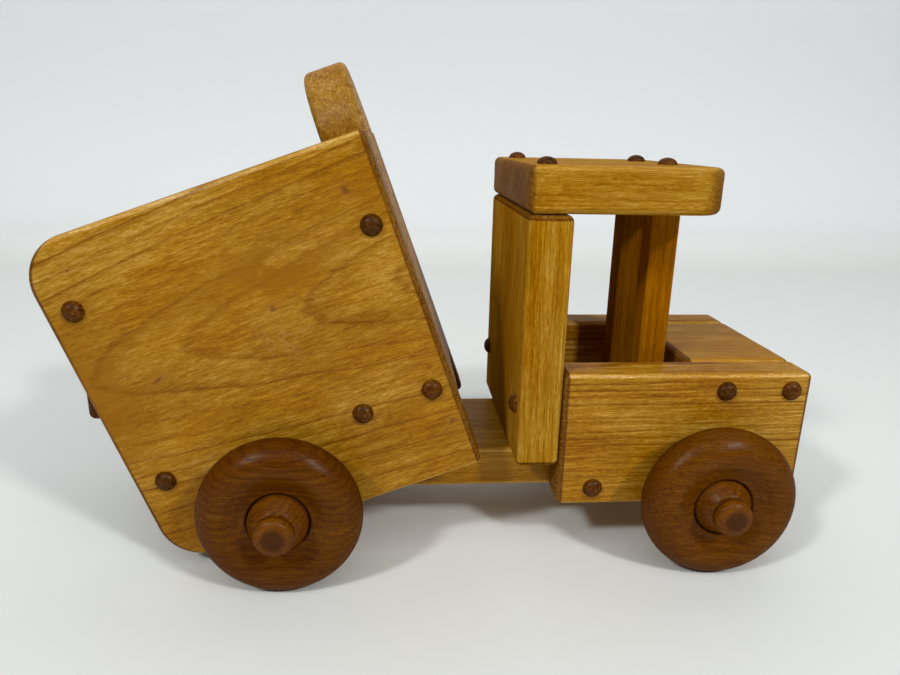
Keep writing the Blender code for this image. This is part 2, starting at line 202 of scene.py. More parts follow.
HALO_COLOUR = (0.30, 0.12, 0.015, 1.0)
HALO_SHARE = 0.30
HALO_SIZE = (3.2, 3.6)                          # times the knot's
STAIN_COLOUR = (0.27, 0.105, 0.002, 1.0)
CLOUD_CELLS = (0.05, 0.05, 0.09)                # per millimetre
CLOUD_STEP = (0.33, 0.54)
SCUFF_COLOUR = (0.27, 0.105, 0.006, 1.0)
SCUFF_SHARE = 0.70
CHATTER_COLOUR = (0.41, 0.205, 0.035, 1.0)
CHATTER_CELLS = (0.30, 0.30, 0.42)              # per millimetre
CHATTER_STEP = (0.02, 0.09)
CHATTER_RELIEF = 0.8
KNOT_SOFTNESS = 0.5
HALO_SOFTNESS = 0.8
STAIN_SOFTNESS = 0.9
SCUFF_SOFTNESS = 0.6

# Stage, lights and camera
WALL_Y = 0.70
WALL_TOP = 2.5
COVE_RADIUS = 0.05
COVE_STEP = 10                                  # degrees
STAGE_HALF = 1.6
STAGE_FRONT = -1.6
STAGE_ROUGHNESS = 0.6
FLOOR_COLOUR = (0.80, 0.825, 0.80, 1.0)
WALL_COLOUR = (0.89, 0.915, 0.93, 1.0)
# Painted shade: the wall is coloured darker towards its top, for the light falling off up the wall
SHADED_HIGH_WALL_COLOUR = (0.74, 0.765, 0.79, 1.0)
FLOOR_TO_WALL = (0.0, 0.08)
WALL_TO_SHADED_HIGH_WALL = (0.08, 0.40)
ROOM_COLOUR = (0.93, 0.97, 1.0, 1.0)
ROOM_GLOW = 0.09                                # the light that the room gives
ROOM_SEEN = 0.70                                # how bright it looks past the table's edge
# Name, place, target, size and power
LIGHTS = (
    ("above_front", (0.05, -0.70, 1.25), (0.0, 0.0, 0.0), (1.6, 0.8), 5.0),
    ("front_left", (-1.05, -1.05, 1.30), (-0.05, 0.0, 0.06), (0.20, 0.20), 13.6),
    ("front_right", (0.96, -1.18, 1.20), (0.08, 0.0, 0.06), (0.20, 0.20), 14.6),
    ("wall_wash", (0.0, 0.30, 1.20), (0.0, 0.70, 0.35), (2.8, 0.3), 2.9),
)
CAMERA_PLACE = Vector((-0.02156, -0.32117, 0.18526))
CAMERA_YAW = math.radians(4.796)                # turned towards +X
CAMERA_PITCH = math.radians(16.521)             # looking down
CAMERA_ROLL = math.radians(1.270)
IMAGE_WIDTH = 900.0
FOCAL_PIXELS = 680.9
SENSOR = 36.0
CLIP_START = 0.01


# ---------------------------------------------------------------- frames and sizes from the CAD

record = frame["record"]
joints = {joint["name"]: joint for joint in frame["joints"]}
body_of_node = {name: body for body, names in record["behaviour"]["bodies"].items() for name in names}

WORLD = Matrix.Identity(4)
bed_tilt = math.radians(joints["bed_dump"]["range_deg"][1])
BED = Matrix.Translation(Vector(joints["bed_dump"]["pos_m"])) @ Matrix.Rotation(-bed_tilt, 4, 'Y')
GATE = Matrix.Translation(Vector(joints["tailgate_swing"]["pos_m"]))


def extent(node, place=WORLD):
    """Lowest and highest corner of a CAD node, measured in the frame place."""
    inverse = place.inverted()
    points = [inverse @ vertex.co for vertex in frame["nodes"][node].data.vertices]
    low = Vector(min(point[axis] for point in points) for axis in range(3))
    high = Vector(max(point[axis] for point in points) for axis in range(3))
    return low, high


peg_low, peg_high = extent("roof_peg_back_right")
PEG_RADIUS = (peg_high.x - peg_low.x) / 2


# ---------------------------------------------------------------- shader building


def link_or_set(tree, socket, value):
    if isinstance(value, bpy.types.NodeSocket):
        tree.links.new(value, socket)
    elif value is not None:
        socket.default_value = value


def add_node(tree, kind, inputs=(), **settings):
    """A new shader node: inputs are values or sockets, by name in a dict or in order."""
    made = tree.nodes.new(kind)
    for key, value in settings.items():
        setattr(made, key, value)
    pairs = inputs.items() if isinstance(inputs, dict) else enumerate(inputs)
    for key, value in pairs:
        link_or_set(tree, made.inputs[key], value)
    return made


def calc(tree, operation, *values, clamp=False):
    return add_node(tree, "ShaderNodeMath", values, operation=operation, use_clamp=clamp).outputs[0]


def vector_calc(tree, operation, *values):
    made = add_node(tree, "ShaderNodeVectorMath", values, operation=operation)
    return made.outputs["Value" if operation in ('LENGTH', 'DOT_PRODUCT') else "Vector"]


def scale(tree, vector, factor):
    return vector_calc(tree, 'SCALE', vector, None, None, factor)


def combine(tree, parts):
    """A vector from a dict of its X, Y and Z; those left out are 0."""
    return add_node(tree, "ShaderNodeCombineXYZ", parts).outputs[0]


def noise(tree, point, cells, detail, roughness, output="Fac"):
    """Noise of a point in millimetres; cells is how many fit in a millimetre along each axis."""
    made = add_node(tree, "ShaderNodeTexNoise",
                    {"Vector": vector_calc(tree, 'MULTIPLY', point, cells), "Scale": 1.0,
                     "Detail": detail, "Roughness": roughness})
    return made.outputs[output]


def wood_noise(tree, point, name, output="Fac"):
    along, across, detail, roughness = NOISES[name]
    return noise(tree, point, (along, across, across), detail, roughness, output)


def ramp(tree, value, stops):
    """A piecewise curve through the given (place, height) stops."""
    made = add_node(tree, "ShaderNodeValToRGB", [value])
    points = made.color_ramp.elements
    for _ in stops[2:]:
        points.new(0.5)
    for point, (place, height) in zip(points, stops):
        point.position = place
        point.color = (height, height, height, 1.0)
    return made.outputs["Color"]


def smooth_step(tree, value, low, high):
    made = add_node(tree, "ShaderNodeMapRange", {"Value": value, "From Min": low, "From Max": high},
                    interpolation_type='SMOOTHSTEP')
    return made.outputs["Result"]


def rest_of(tree, share):
    return calc(tree, 'SUBTRACT', 1.0, share)


def around_one(tree, value, amount):
    """Turns a noise about 0.5 into a factor about 1."""
    return calc(tree, 'MULTIPLY_ADD', calc(tree, 'SUBTRACT', value, 0.5), amount, 1.0)


def mix_number(tree, share, first, second):
    return calc(tree, 'MULTIPLY_ADD', share, calc(tree, 'SUBTRACT', second, first), first)


def mix_colour(tree, share, first, second):
    made = add_node(tree, "ShaderNodeMix", data_type='RGBA', blend_type='MIX')
    link_or_set(tree, made.inputs[0], share)
    link_or_set(tree, made.inputs[6], first)
    link_or_set(tree, made.inputs[7], second)
    return made.outputs[2]


# ---------------------------------------------------------------- solid wood

GROUP_INPUTS = {
    'NodeSocketVector': ("Point",),
    'NodeSocketFloat': ("End Grain", "Edge Wear And Sheen", "Spacing", "Rings", "Warp", "Figure", "Tone", "Roughness",
                        "Bow", "Grain", "Ends", "Soft", "Blue"),
    'NodeSocketColor': ("Light", "Line", "Orange", "End", "Burnt"),
}
GROUP_OUTPUTS = {"Color": 'NodeSocketColor', "Roughness": 'NodeSocketFloat', "Height": 'NodeSocketFloat'}


def growth_rings(group, given):
    """Rings round the X axis, bowed along the grain and bent by slow noise.

    Gives the strength of their dark lines and a number of chance for each ring.
    """
    point = given["Point"]
    along = add_node(group, "ShaderNodeSeparateXYZ", [point]).outputs["X"]
    bow = calc(group, 'MULTIPLY', calc(group, 'MULTIPLY', along, along), given["Bow"])
    bend = vector_calc(group, 'SUBTRACT', wood_noise(group, point, "bend", "Color"), (0.5, 0.5, 0.5))
    bend = scale(group, bend, given["Warp"])
    bent = vector_calc(group, 'ADD', vector_calc(group, 'ADD', bend, combine(group, {"Y": bow})), point)
    radius = vector_calc(group, 'LENGTH', vector_calc(group, 'MULTIPLY', bent, (0.0, 1.0, 1.0)))
    ripple = calc(group, 'SUBTRACT', wood_noise(group, point, "ripple"), 0.5)
    radius = calc(group, 'MULTIPLY_ADD', ripple, RIPPLE_SIZE, radius)
    ring = calc(group, 'DIVIDE', radius, given["Spacing"])
    phase = calc(group, 'FRACT', ring)
    chance = add_node(group, "ShaderNodeTexWhiteNoise", {"W": calc(group, 'FLOOR', ring)},
                      noise_dimensions='1D').outputs["Value"]

    late = ramp(group, phase, LATE_WOOD)
    swell = calc(group, 'COSINE', calc(group, 'MULTIPLY', phase, 2 * math.pi))
    swell = calc(group, 'POWER', calc(group, 'MULTIPLY_ADD', swell, 0.5, 0.5), SOFT_RING_POWER)
    late = mix_number(group, given["Soft"], late, swell)
    strength = calc(group, 'MULTIPLY_ADD', calc(group, 'POWER', chance, RING_CHANCE_POWER), *RING_STRENGTH)
    strength = mix_number(group, given["Soft"], strength, SOFT_RING_STRENGTH)
    unbroken = smooth_step(group, wood_noise(group, point, "broken"), *STEPS["broken"])
    lines = calc(group, 'MULTIPLY', calc(group, 'MULTIPLY', late, strength), given["Rings"])
    lines = calc(group, 'MULTIPLY', lines, calc(group, 'MULTIPLY_ADD', unbroken, *UNBROKEN_STRENGTH))
    return lines, chance


def make_wood_group():
    """Solid wood: growth rings round the X axis, fibres along X. Point is in millimetres."""
    group = bpy.data.node_groups.new("solid_wood", "ShaderNodeTree")
    for kind, names in GROUP_INPUTS.items():
        for name in names:
            group.interface.new_socket(name=name, in_out='INPUT', socket_type=kind)
    for name, kind in GROUP_OUTPUTS.items():
        group.interface.new_socket(name=name, in_out='OUTPUT', socket_type=kind)
    given = group.nodes.new("NodeGroupInput").outputs
    point = given["Point"]
    lines, chance = growth_rings(group, given)

    # Fibres, pores, slow mottling and curly figure
    fibre_wave = calc(group, 'SUBTRACT', wood_noise(group, point, "fibre_wave"), 0.5)
    shift = {axis: calc(group, 'MULTIPLY', fibre_wave, size) for axis, size in FIBRE_WAVE_SIZE.items()}
    wavy = vector_calc(group, 'ADD', point, combine(group, shift))
    fibres = wood_noise(group, wavy, "fibres")
    dashes = wood_noise(group, wavy, "dashes")
    fine = wood_noise(group, wavy, "fine")
    pores = smooth_step(group, wood_noise(group, wavy, "pores"), *STEPS["pores"])
    mottle = wood_noise(group, point, "mottle")
    patches = wood_noise(group, point, "patches")
    curl = calc(group, 'SUBTRACT', wood_noise(group, wavy, "curl"), 0.5)
    curl = calc(group, 'MULTIPLY', calc(group, 'MULTIPLY', curl, given["Figure"]),
                smooth_step(group, patches, *STEPS["curl"]))

    # Brightness of the grain; the rounded edges of long grain are paler, partly from wear and partly a painted
    # highlight where they catch the light
    grain = around_one(group, fibres, SWING["fibres"])
    grain = calc(group, 'MULTIPLY', grain, around_one(group, dashes, SWING["dashes"]))
    grain = calc(group, 'MULTIPLY', grain, around_one(group, fine, SWING["fine"]))
    grain = calc(group, 'MULTIPLY', grain, calc(group, 'MULTIPLY_ADD', curl, SWING["curl"], 1.0))
    grain = calc(group, 'POWER', grain, given["Grain"])
    grain = calc(group, 'MULTIPLY', grain, around_one(group, mottle, SWING["mottle"]))
    grain = calc(group, 'MULTIPLY', grain, around_one(group, chance, SWING["ring"]))
    end_share = smooth_step(group, given["End Grain"], *STEPS["end_grain"])
    end_share = calc(group, 'MULTIPLY', end_share, given["Ends"])
    wear_and_sheen_speckle = smooth_step(group, wood_noise(group, point, "wear_and_sheen"), *STEPS["wear_and_sheen"])
    wear_and_sheen = calc(group, 'MULTIPLY', given["Edge Wear And Sheen"], calc(group, 'MULTIPLY_ADD', wear_and_sheen_speckle, *WEAR_AND_SHEEN_STRENGTH))
    grain = calc(group, 'ADD', grain, calc(group, 'MULTIPLY', wear_and_sheen, rest_of(group, end_share)))

    # Colour of the faces, of the end grain and of the darker band where one turns to the other
    face = mix_colour(group, smooth_step(group, patches, *STEPS["patches"]), given["Light"], given["Orange"])
    dark_share = calc(group, 'MULTIPLY_ADD', pores, PORE_DARKNESS,
                      calc(group, 'MULTIPLY', lines, LINE_DARKNESS), clamp=True)
    face = mix_colour(group, dark_share, face, given["Line"])
    end_spots = smooth_step(group, wood_noise(group, point, "end_spots"), *STEPS["end_spots"])
    end = mix_colour(group, calc(group, 'MULTIPLY', end_spots, END_SPOT_SHARE), given["End"], given["Light"])
    end = mix_colour(group, calc(group, 'MULTIPLY', lines, END_LINE_SHARE), end, given["End"])
    colour = mix_colour(group, end_share, face, end)
    turning = calc(group, 'MULTIPLY', end_share, rest_of(group, end_share))
    turning = calc(group, 'MULTIPLY', turning, BURNT_STRENGTH)
    turning = calc(group, 'MULTIPLY', turning, given["Ends"], clamp=True)
    colour = mix_colour(group, turning, colour, given["Burnt"])

    # Bright fibres are paler, dark ones a deeper orange
    tint = combine(group, {"X": grain, "Y": calc(group, 'POWER', grain, GREEN_POWER),
                           "Z": calc(group, 'POWER', grain, given["Blue"])})
    colour = scale(group, vector_calc(group, 'MULTIPLY', colour, tint), given["Tone"])

    rough = calc(group, 'MULTIPLY_ADD', calc(group, 'SUBTRACT', fibres, 0.5), ROUGHER["fibres"],
                 given["Roughness"])
    rough = calc(group, 'MULTIPLY_ADD', end_share, ROUGHER["end"], rough)
    rough = calc(group, 'MULTIPLY_ADD', calc(group, 'SUBTRACT', mottle, 0.5), ROUGHER["mottle"], rough)
    height = calc(group, 'MULTIPLY', fine, RELIEF["fine"])
    for part, name in ((dashes, "dashes"), (pores, "pores"), (curl, "curl"), (lines, "lines")):
        height = calc(group, 'MULTIPLY_ADD', part, RELIEF[name], height)

    out = group.nodes.new("NodeGroupOutput")
    for name, value in (("Color", colour), ("Roughness", rough), ("Height", height)):
        group.links.new(value, out.inputs[name])
    return group


WOOD_GROUP = make_wood_group()
GRAIN_TURN = {
    'X': Matrix.Identity(3),
    'Y': Matrix.Rotation(-math.pi / 2, 3, 'Z'),
    'Z': Matrix.Rotation(math.pi / 2, 3, 'Y'),
}
AXES = {'X': (1, 0, 0), 'Y': (0, 1, 0), 'Z': (0, 0, 1)}


def wood(name, palette, grain='X', pith=(0, 60, 0), lean=(0.0, 0.0), spacing=4.0, rings=1.0, warp=5.0,
         figure=0.35, tone=1.0, edge_wear_and_sheen=1.0, bow=0.0, contrast=1.0, ends=1.0, coat=COAT_WEIGHT,
         gloss=COAT_ROUGHNESS, soft=0.0, marks=None):
    """A board's own wood.

    grain is the axis of the piece's frame that the fibres follow and lean the tree's tilt against it, in
    degrees. pith is a point on the tree's middle and spacing the width of a growth ring, in millimetres.
    rings, figure, the edges' strength and ends are how strongly the growth lines, the curly figure, the paler
    rounded edges and the end grain show; the paler edges are partly wear and partly a painted highlight.
    """
    material = bpy.data.materials.new(name)
    material.use_nodes = True
    tree = material.node_tree
    surface = tree.nodes["Principled BSDF"]
    coordinates = tree.nodes.new("ShaderNodeTexCoord")

    turn = (Matrix.Rotation(math.radians(lean[0]), 3, 'Y')
            @ Matrix.Rotation(math.radians(lean[1]), 3, 'Z')
            @ GRAIN_TURN[grain])
    point = scale(tree, coordinates.outputs["Object"], 1 / MM)
    point = vector_calc(tree, 'SUBTRACT', point, pith)
    mapping = add_node(tree, "ShaderNodeMapping", {"Vector": point, "Rotation": tuple(turn.to_euler())})
    point = mapping.outputs["Vector"]

    along = vector_calc(tree, 'DOT_PRODUCT', coordinates.outputs["Normal"], AXES[grain])
    slope = vector_calc(tree, 'ABSOLUTE', coordinates.outputs["Normal"])
    parts = add_node(tree, "ShaderNodeSeparateXYZ", [slope]).outputs
    facing = calc(tree, 'MAXIMUM', calc(tree, 'MAXIMUM', parts[0], parts[1]), parts[2])
    # Mask of the rounded edges, which get the paler speckle: partly wear, partly a painted highlight
    edge = rest_of(tree, smooth_step(tree, facing, *EDGE_FACING))

    solid = add_node(tree, "ShaderNodeGroup", node_tree=WOOD_GROUP)
    values = {"Point": point, "End Grain": calc(tree, 'ABSOLUTE', along),
              "Edge Wear And Sheen": calc(tree, 'MULTIPLY', edge, edge_wear_and_sheen), "Spacing": spacing, "Rings": rings,
              "Warp": warp, "Figure": figure, "Tone": tone, "Roughness": palette["Roughness"], "Bow": bow,
              "Grain": contrast, "Ends": ends, "Soft": soft, "Blue": palette["Blue"]}
    for key, value in values.items():
        link_or_set(tree, solid.inputs[key], value)
    for key in GROUP_INPUTS['NodeSocketColor']:
        solid.inputs[key].default_value = (*palette[key], 1.0)

    colour = solid.outputs["Color"]
    height = solid.outputs["Height"]
    if marks:
        colour, height = marks(tree, coordinates.outputs["Object"], colour, height)
    tree.links.new(colour, surface.inputs["Base Color"])
    tree.links.new(solid.outputs["Roughness"], surface.inputs["Roughness"])
    relief = add_node(tree, "ShaderNodeBump",
                      {"Strength": RELIEF_STRENGTH, "Distance": RELIEF_DEPTH, "Height": height})
    tree.links.new(relief.outputs["Normal"], surface.inputs["Normal"])
    tree.links.new(relief.outputs["Normal"], surface.inputs["Coat Normal"])
    surface.inputs["Specular IOR Level"].default_value = 0.0
    surface.inputs["Coat Weight"].default_value = coat
    surface.inputs["Coat Roughness"].default_value = gloss
    return material


def oiled_and_shaded_head(tree, point, colour, height):
    """Marks for an axle peg: the oil-darkened middle of its head, and painted shade at its foot."""
    across = vector_calc(tree, 'MULTIPLY', point, (1 / MM, 1 / MM, 0.0))
    wobble = calc(tree, 'MULTIPLY', wood_noise(tree, scale(tree, point, 1 / MM), "oil"), OILED_WOBBLE)
    distance = calc(tree, 'ADD', vector_calc(tree, 'LENGTH', across), wobble)
    rim = [OILED_REACH * times for times in OILED_RIM]
    above = add_node(tree, "ShaderNodeSeparateXYZ", [point]).outputs["Z"]
    middle = calc(tree, 'MULTIPLY', rest_of(tree, smooth_step(tree, distance, *rim)),
                  smooth_step(tree, above, *OILED_RISE))
    # Painted shade at the head's foot, in the crease against the washer
    painted_foot_shade = rest_of(tree, smooth_step(tree, above, *FOOT_SHADE))
    share = calc(tree, 'MAXIMUM', calc(tree, 'MULTIPLY', middle, OILED_SHARE),
                 calc(tree, 'MULTIPLY', painted_foot_shade, FOOT_SHADE_SHARE))
    return mix_colour(tree, share, colour, OIL_AND_SHADE_COLOUR), height


def spot(tree, point, centre, size, turn, softness):
    """A soft oval on a side face: centre and half sizes (along X, along Z) in millimetres."""
    moved = vector_calc(tree, 'SUBTRACT', point, (centre[0], 0.0, centre[1]))
    mapping = add_node(tree, "ShaderNodeMapping",
                       {"Vector": moved, "Rotation": (0.0, math.radians(turn), 0.0)})
    squeezed = vector_calc(tree, 'MULTIPLY', mapping.outputs[0], (1 / size[0], 0.0, 1 / size[1]))
    distance = vector_calc(tree, 'LENGTH', squeezed)
    return rest_of(tree, smooth_step(tree, distance, 1.0 - softness, 1.0 + softness))


def bed_side_marks(tree, point, colour, height):
    """Small knots, cloudy stains, a scratch and chatter marks on the bed's right side."""
    point = scale(tree, point, 1 / MM)
    for centre, size, turn in KNOTS:
        knot = spot(tree, point, centre, size, turn, KNOT_SOFTNESS)
        colour = mix_colour(tree, calc(tree, 'MULTIPLY', knot, KNOT_SHARE), colour, KNOT_COLOUR)
        halo_size = (size[0] * HALO_SIZE[0], size[1] * HALO_SIZE[1])
        halo = spot(tree, point, centre, halo_size, turn, HALO_SOFTNESS)
        colour = mix_colour(tree, calc(tree, 'MULTIPLY', halo, HALO_SHARE), colour, HALO_COLOUR)
    cloud = smooth_step(tree, noise(tree, point, CLOUD_CELLS, 3.0, 0.6), *CLOUD_STEP)
    for centre, size, turn, strength in STAINS:
        stain = calc(tree, 'MULTIPLY', spot(tree, point, centre, size, turn, STAIN_SOFTNESS), cloud)
        colour = mix_colour(tree, calc(tree, 'MULTIPLY', stain, strength), colour, STAIN_COLOUR)
    chatter = calc(tree, 'SUBTRACT', noise(tree, point, CHATTER_CELLS, 1.0, 0.5), 0.5)
    chatter = rest_of(tree, smooth_step(tree, calc(tree, 'ABSOLUTE', chatter), *CHATTER_STEP))
    for centre, size, turn, strength in SCUFFS:
        scuff = spot(tree, point, centre, size, turn, SCUFF_SOFTNESS)
        share = calc(tree, 'MULTIPLY', scuff, SCUFF_SHARE * strength)
        colour = mix_colour(tree, share, colour, SCUFF_COLOUR)
        share = calc(tree, 'MULTIPLY', calc(tree, 'MULTIPLY', scuff, chatter), strength)
        colour = mix_colour(tree, share, colour, CHATTER_COLOUR)
        height = calc(tree, 'MULTIPLY_ADD', share, CHATTER_RELIEF, height)
    return colour, height


# ---------------------------------------------------------------- pieces


def settle(thing, node, material):
    """Finishes a piece that stands for a CAD node: its material slot and body, and the CAD node hidden."""
    thing.data.materials.clear()
    thing.data.materials.append(material)
    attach(thing, body_of_node[node])
    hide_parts(node)


def new_object(name, shape, place):
    mesh = bpy.data.meshes.new(name)
    shape.to_mesh(mesh)
    shape.free()
    thing = bpy.data.objects.new(name, mesh)
    bpy.context.scene.collection.objects.link(thing)
    thing.matrix_world = place
    return thing


def bake_modifiers(thing):
    """Replaces the mesh by what its modifiers make of it, shaded smooth with its flats kept flat."""
    bpy.context.view_layer.update()
    seen = thing.evaluated_get(bpy.context.evaluated_depsgraph_get())
    mesh = bpy.data.meshes.new_from_object(seen)
    thing.modifiers.clear()
    thing.data = mesh
    mesh.shade_smooth()
    mesh.set_sharp_from_angle(angle=EDGE_ANGLE)
    thing.modifiers.new("flats", 'WEIGHTED_NORMAL').keep_sharp = True


def arc(centre_a, centre_b, radius, from_angle, to_angle, steps):
    angles = [math.radians(from_angle + (to_angle - from_angle) * step / steps) for step in range(steps + 1)]
    return [(centre_a + radius * math.cos(angle), centre_b + radius * math.sin(angle)) for angle in angles]


def box_outline(low_a, low_b, high_a, high_b):
    return [(low_a, low_b), (high_a, low_b), (high_a, high_b), (low_a, high_b)]


def roof_outline(low_a, low_b, high_a, high_b):
    corner = ROOF_CORNER
    return ([(low_a, low_b)]
            + arc(high_a - corner, low_b + corner, corner, -90, 0, CORNER_STEPS)
            + arc(high_a - corner, high_b - corner, corner, 0, 90, CORNER_STEPS)
            + [(low_a, high_b)])


def bed_side_outline(low_a, low_b, high_a, high_b):
    corner = BED_CORNER
    return ([(high_a, low_b), (high_a, high_b)]
            + arc(low_a + corner, high_b - corner, corner, 90, 180, CORNER_STEPS)
            + arc(low_a + corner, low_b + corner, corner, 180, 270, CORNER_STEPS))


def arch_outline(low_a, low_b, high_a, high_b):
    half = (high_a - low_a) / 2
    return [(low_a, low_b), (high_a, low_b)] + arc(0.0, high_b - half, half, 0, 180, ARCH_STEPS)


AXIS_ORDER = {'X': (1, 2, 0), 'Y': (0, 2, 1), 'Z': (0, 1, 2)}


def board(node, material, outline=box_outline, axis='Y', place=WORLD, edge=EDGE_ROUND, pegs=()):
    """A board in place of a CAD node, with round edges and a fine gap round each peg."""
    low, high = extent(node, place)
    first, second, through = AXIS_ORDER[axis]
    shape = bmesh.new()
    ring = []
    for a, b in outline(low[first], low[second], high[first], high[second]):
        corner = Vector((0.0, 0.0, 0.0))
        corner[first], corner[second], corner[through] = a, b, low[through]
        ring.append(shape.verts.new(corner))
    face = shape.faces.new(ring)
    grown = bmesh.ops.extrude_face_region(shape, geom=[face])["geom"]
    corners = [part for part in grown if isinstance(part, bmesh.types.BMVert)]
    step = Vector((0.0, 0.0, 0.0))
    step[through] = high[through] - low[through]
    bmesh.ops.translate(shape, verts=corners, vec=step)
    bmesh.ops.recalc_face_normals(shape, faces=shape.faces)
    thing = new_object(node + "_wood", shape, place)
    bevel = thing.modifiers.new("rounded_edges", 'BEVEL')
    bevel.width = edge
    bevel.segments = EDGE_STEPS
    bevel.limit_method = 'ANGLE'
    bevel.angle_limit = EDGE_ANGLE
    if pegs:
        cutter = peg_holes(node, pegs, place)
        cut = thing.modifiers.new("holes", 'BOOLEAN')
        cut.operation = 'DIFFERENCE'
        cut.solver = 'EXACT'
        cut.object = cutter
        bake_modifiers(thing)
        bpy.data.objects.remove(cutter)
    else:
        bake_modifiers(thing)
    settle(thing, node, material)


def peg_holes(board_node, pegs, place):
    """One cutter for all of a board's holes, a little wider than the pegs' shanks."""
    shape = bmesh.new()
    for peg_node, axis, radius in pegs:
        low, high = extent(peg_node, place)
        middle = (low + high) / 2
        length = (high - low)['XYZ'.index(axis)] + HOLE_SPARE
        turn = Vector(AXES[axis]).to_track_quat('Z', 'Y').to_matrix().to_4x4()
        bmesh.ops.create_cone(shape, cap_ends=True, segments=HOLE_SIDES, radius1=radius + HOLE_GAP,
                              radius2=radius + HOLE_GAP, depth=length,
                              matrix=Matrix.Translation(middle) @ turn)
    return new_object(board_node + "_holes", shape, place)


def turned(name, profile, sides, place):
    """A turned piece about its own Z: the profile is a list of (radius, height), from the bottom up.

    A profile that starts away from the axis is closed into a ring round a bore.
    """
    shape = bmesh.new()
    rings = []
    for radius, height in profile:
        if radius == 0.0:
            rings.append([shape.verts.new((0.0, 0.0, height))])
            continue
        angles = [2 * math.pi * side / sides for side in range(sides)]
        rings.append([shape.verts.new((radius * math.cos(a), radius * math.sin(a), height)) for a in angles])
    pairs = list(zip(rings, rings[1:]))
    if profile[0][0] > 0.0:
        pairs.append((rings[-1], rings[0]))
    for low, high in pairs:
        for side in range(sides):
            following = (side + 1) % sides
            corners = [low[side % len(low)], low[following % len(low)],
                       high[following % len(high)], high[side % len(high)]]
            shape.faces.new(list(dict.fromkeys(corners)))
    bmesh.ops.recalc_face_normals(shape, faces=shape.faces)
    thing = new_object(name, shape, place)
    thing.data.shade_smooth()
    thing.data.set_sharp_from_angle(angle=EDGE_ANGLE)
    return thing


def outward_frame(place, direction, point):
    """A frame at point whose Z runs along direction, both measured in place."""
    turn = Vector(direction).to_track_quat('Z', 'Y').to_matrix().to_4x4()
    return place @ Matrix.Translation(point) @ turn


def peg(node, direction, material, place=WORLD):
    """A domed peg: it stands out along direction, and its dome starts at the board's face."""
    low, high = extent(node, place)
    middle = (low + high) / 2
    axis = max(range(3), key=lambda k: abs(direction[k]))
    outwards = direction[axis] > 0
    tip = high[axis] if outwards else low[axis]
    radius = max((high - low)[k] for k in range(3) if k != axis) / 2
    length = (high - low)[axis]
    face = Vector(middle)
    face[axis] = tip - PEG_DOME * (1 if outwards else -1)
    profile = [(0.0, PEG_DOME - length), (radius, PEG_DOME - length)]
    profile += [(radius * math.cos(math.pi / 2 * step / DOME_STEPS),
                 PEG_DOME * math.sin(math.pi / 2 * step / DOME_STEPS)) for step in range(DOME_STEPS)]
    profile.append((0.0, PEG_DOME))
    thing = turned(node + "_wood", profile, PEG_SIDES, outward_frame(place, direction, face))
    settle(thing, node, material)


def wheel_profile(bore):
    """From the bore's inner end: flat back, round tyre, dished face, recess and back to the bore."""
    low, high = extent("wheel_rear_right")
    crest = (high.z - low.z) / 2 - TYRE_RADIAL
    profile = [(bore, -WHEEL_HALF)]
    for step in range(TYRE_STEPS + 1):
        angle = math.pi * (step / TYRE_STEPS - 0.5)
        profile.append((crest + TYRE_RADIAL * math.cos(angle), WHEEL_HALF * math.sin(angle)))
    for step in range(1, DISH_STEPS):
        share = step / DISH_STEPS
        ease = (1 - math.cos(math.pi * share * DISH_SWEEP)) / (1 - math.cos(math.pi * DISH_SWEEP))
        profile.append((crest + (RECESS_RADIUS + RECESS_LIP - crest) * share,
                        WHEEL_HALF + (RECESS_RIM - WHEEL_HALF) * ease))
    for angle in LIP_ANGLES:
        profile.append((RECESS_RADIUS + RECESS_LIP * (1 - math.sin(angle)),
                        RECESS_RIM - RECESS_LIP * (1 - math.cos(angle))))
    profile += [(RECESS_RADIUS, RECESS_FLOOR), (bore, RECESS_FLOOR)]
    return profile


def smooth_profile(corners, steps):
    """Rounds the corners of a profile: each is (radius, height, size of the rounding)."""
    points = []
    for index, (radius, height, size) in enumerate(corners):
        here = Vector((radius, height))
        if size == 0.0:
            points.append(here)
            continue
        before = Vector(corners[index - 1][:2])
        after = Vector(corners[index + 1][:2])
        start = here + (before - here).normalized() * size
        end = here + (after - here).normalized() * size
        for step in range(steps + 1):
            share = step / steps
            points.append(start * (1 - share) ** 2 + here * 2 * share * (1 - share) + end * share ** 2)
    return [(max(point[0], 0.0), point[1]) for point in points]


def washer_profile(bore, root, bottom, face):
    """A thick ring that tapers from its root to the size of the axle peg's head."""
    shoulder = face - WASHER_TAPER
    bulge_radius = (root + WASHER_TOP_RADIUS) / 2 + WASHER_BULGE
    return smooth_profile([
        (bore, bottom, 0.0),
        (root - WASHER_UNDERCUT, bottom, 0.0),
        (root, shoulder, 0.9 * MM),
        (bulge_radius, shoulder + WASHER_TAPER * WASHER_BULGE_HEIGHT, 2.4 * MM),
        (WASHER_TOP_RADIUS, face, 0.7 * MM),
        (bore, face, 0.0)], ROUND_STEPS)


def axle_profile(shank, radius):
    """From the buried tip out to the head, a low button; the head's inner face is at height 0."""
    length = AXLE_HEAD_LENGTH
    return smooth_profile([
        (0.0, -shank, 0.0),
        (AXLE_RADIUS, -shank, 0.3 * MM),
        (AXLE_RADIUS, 0.0, 0.0),
        (radius, 0.0, 0.45 * MM),
        (radius, length - AXLE_HEAD_EDGE, 1.0 * MM),
        (radius - AXLE_HEAD_EDGE, length - AXLE_HEAD_CROWN, 1.5 * MM),
        (0.0, length, 0.0)], AXLE_ROUND_STEPS)


# ---------------------------------------------------------------- the truck

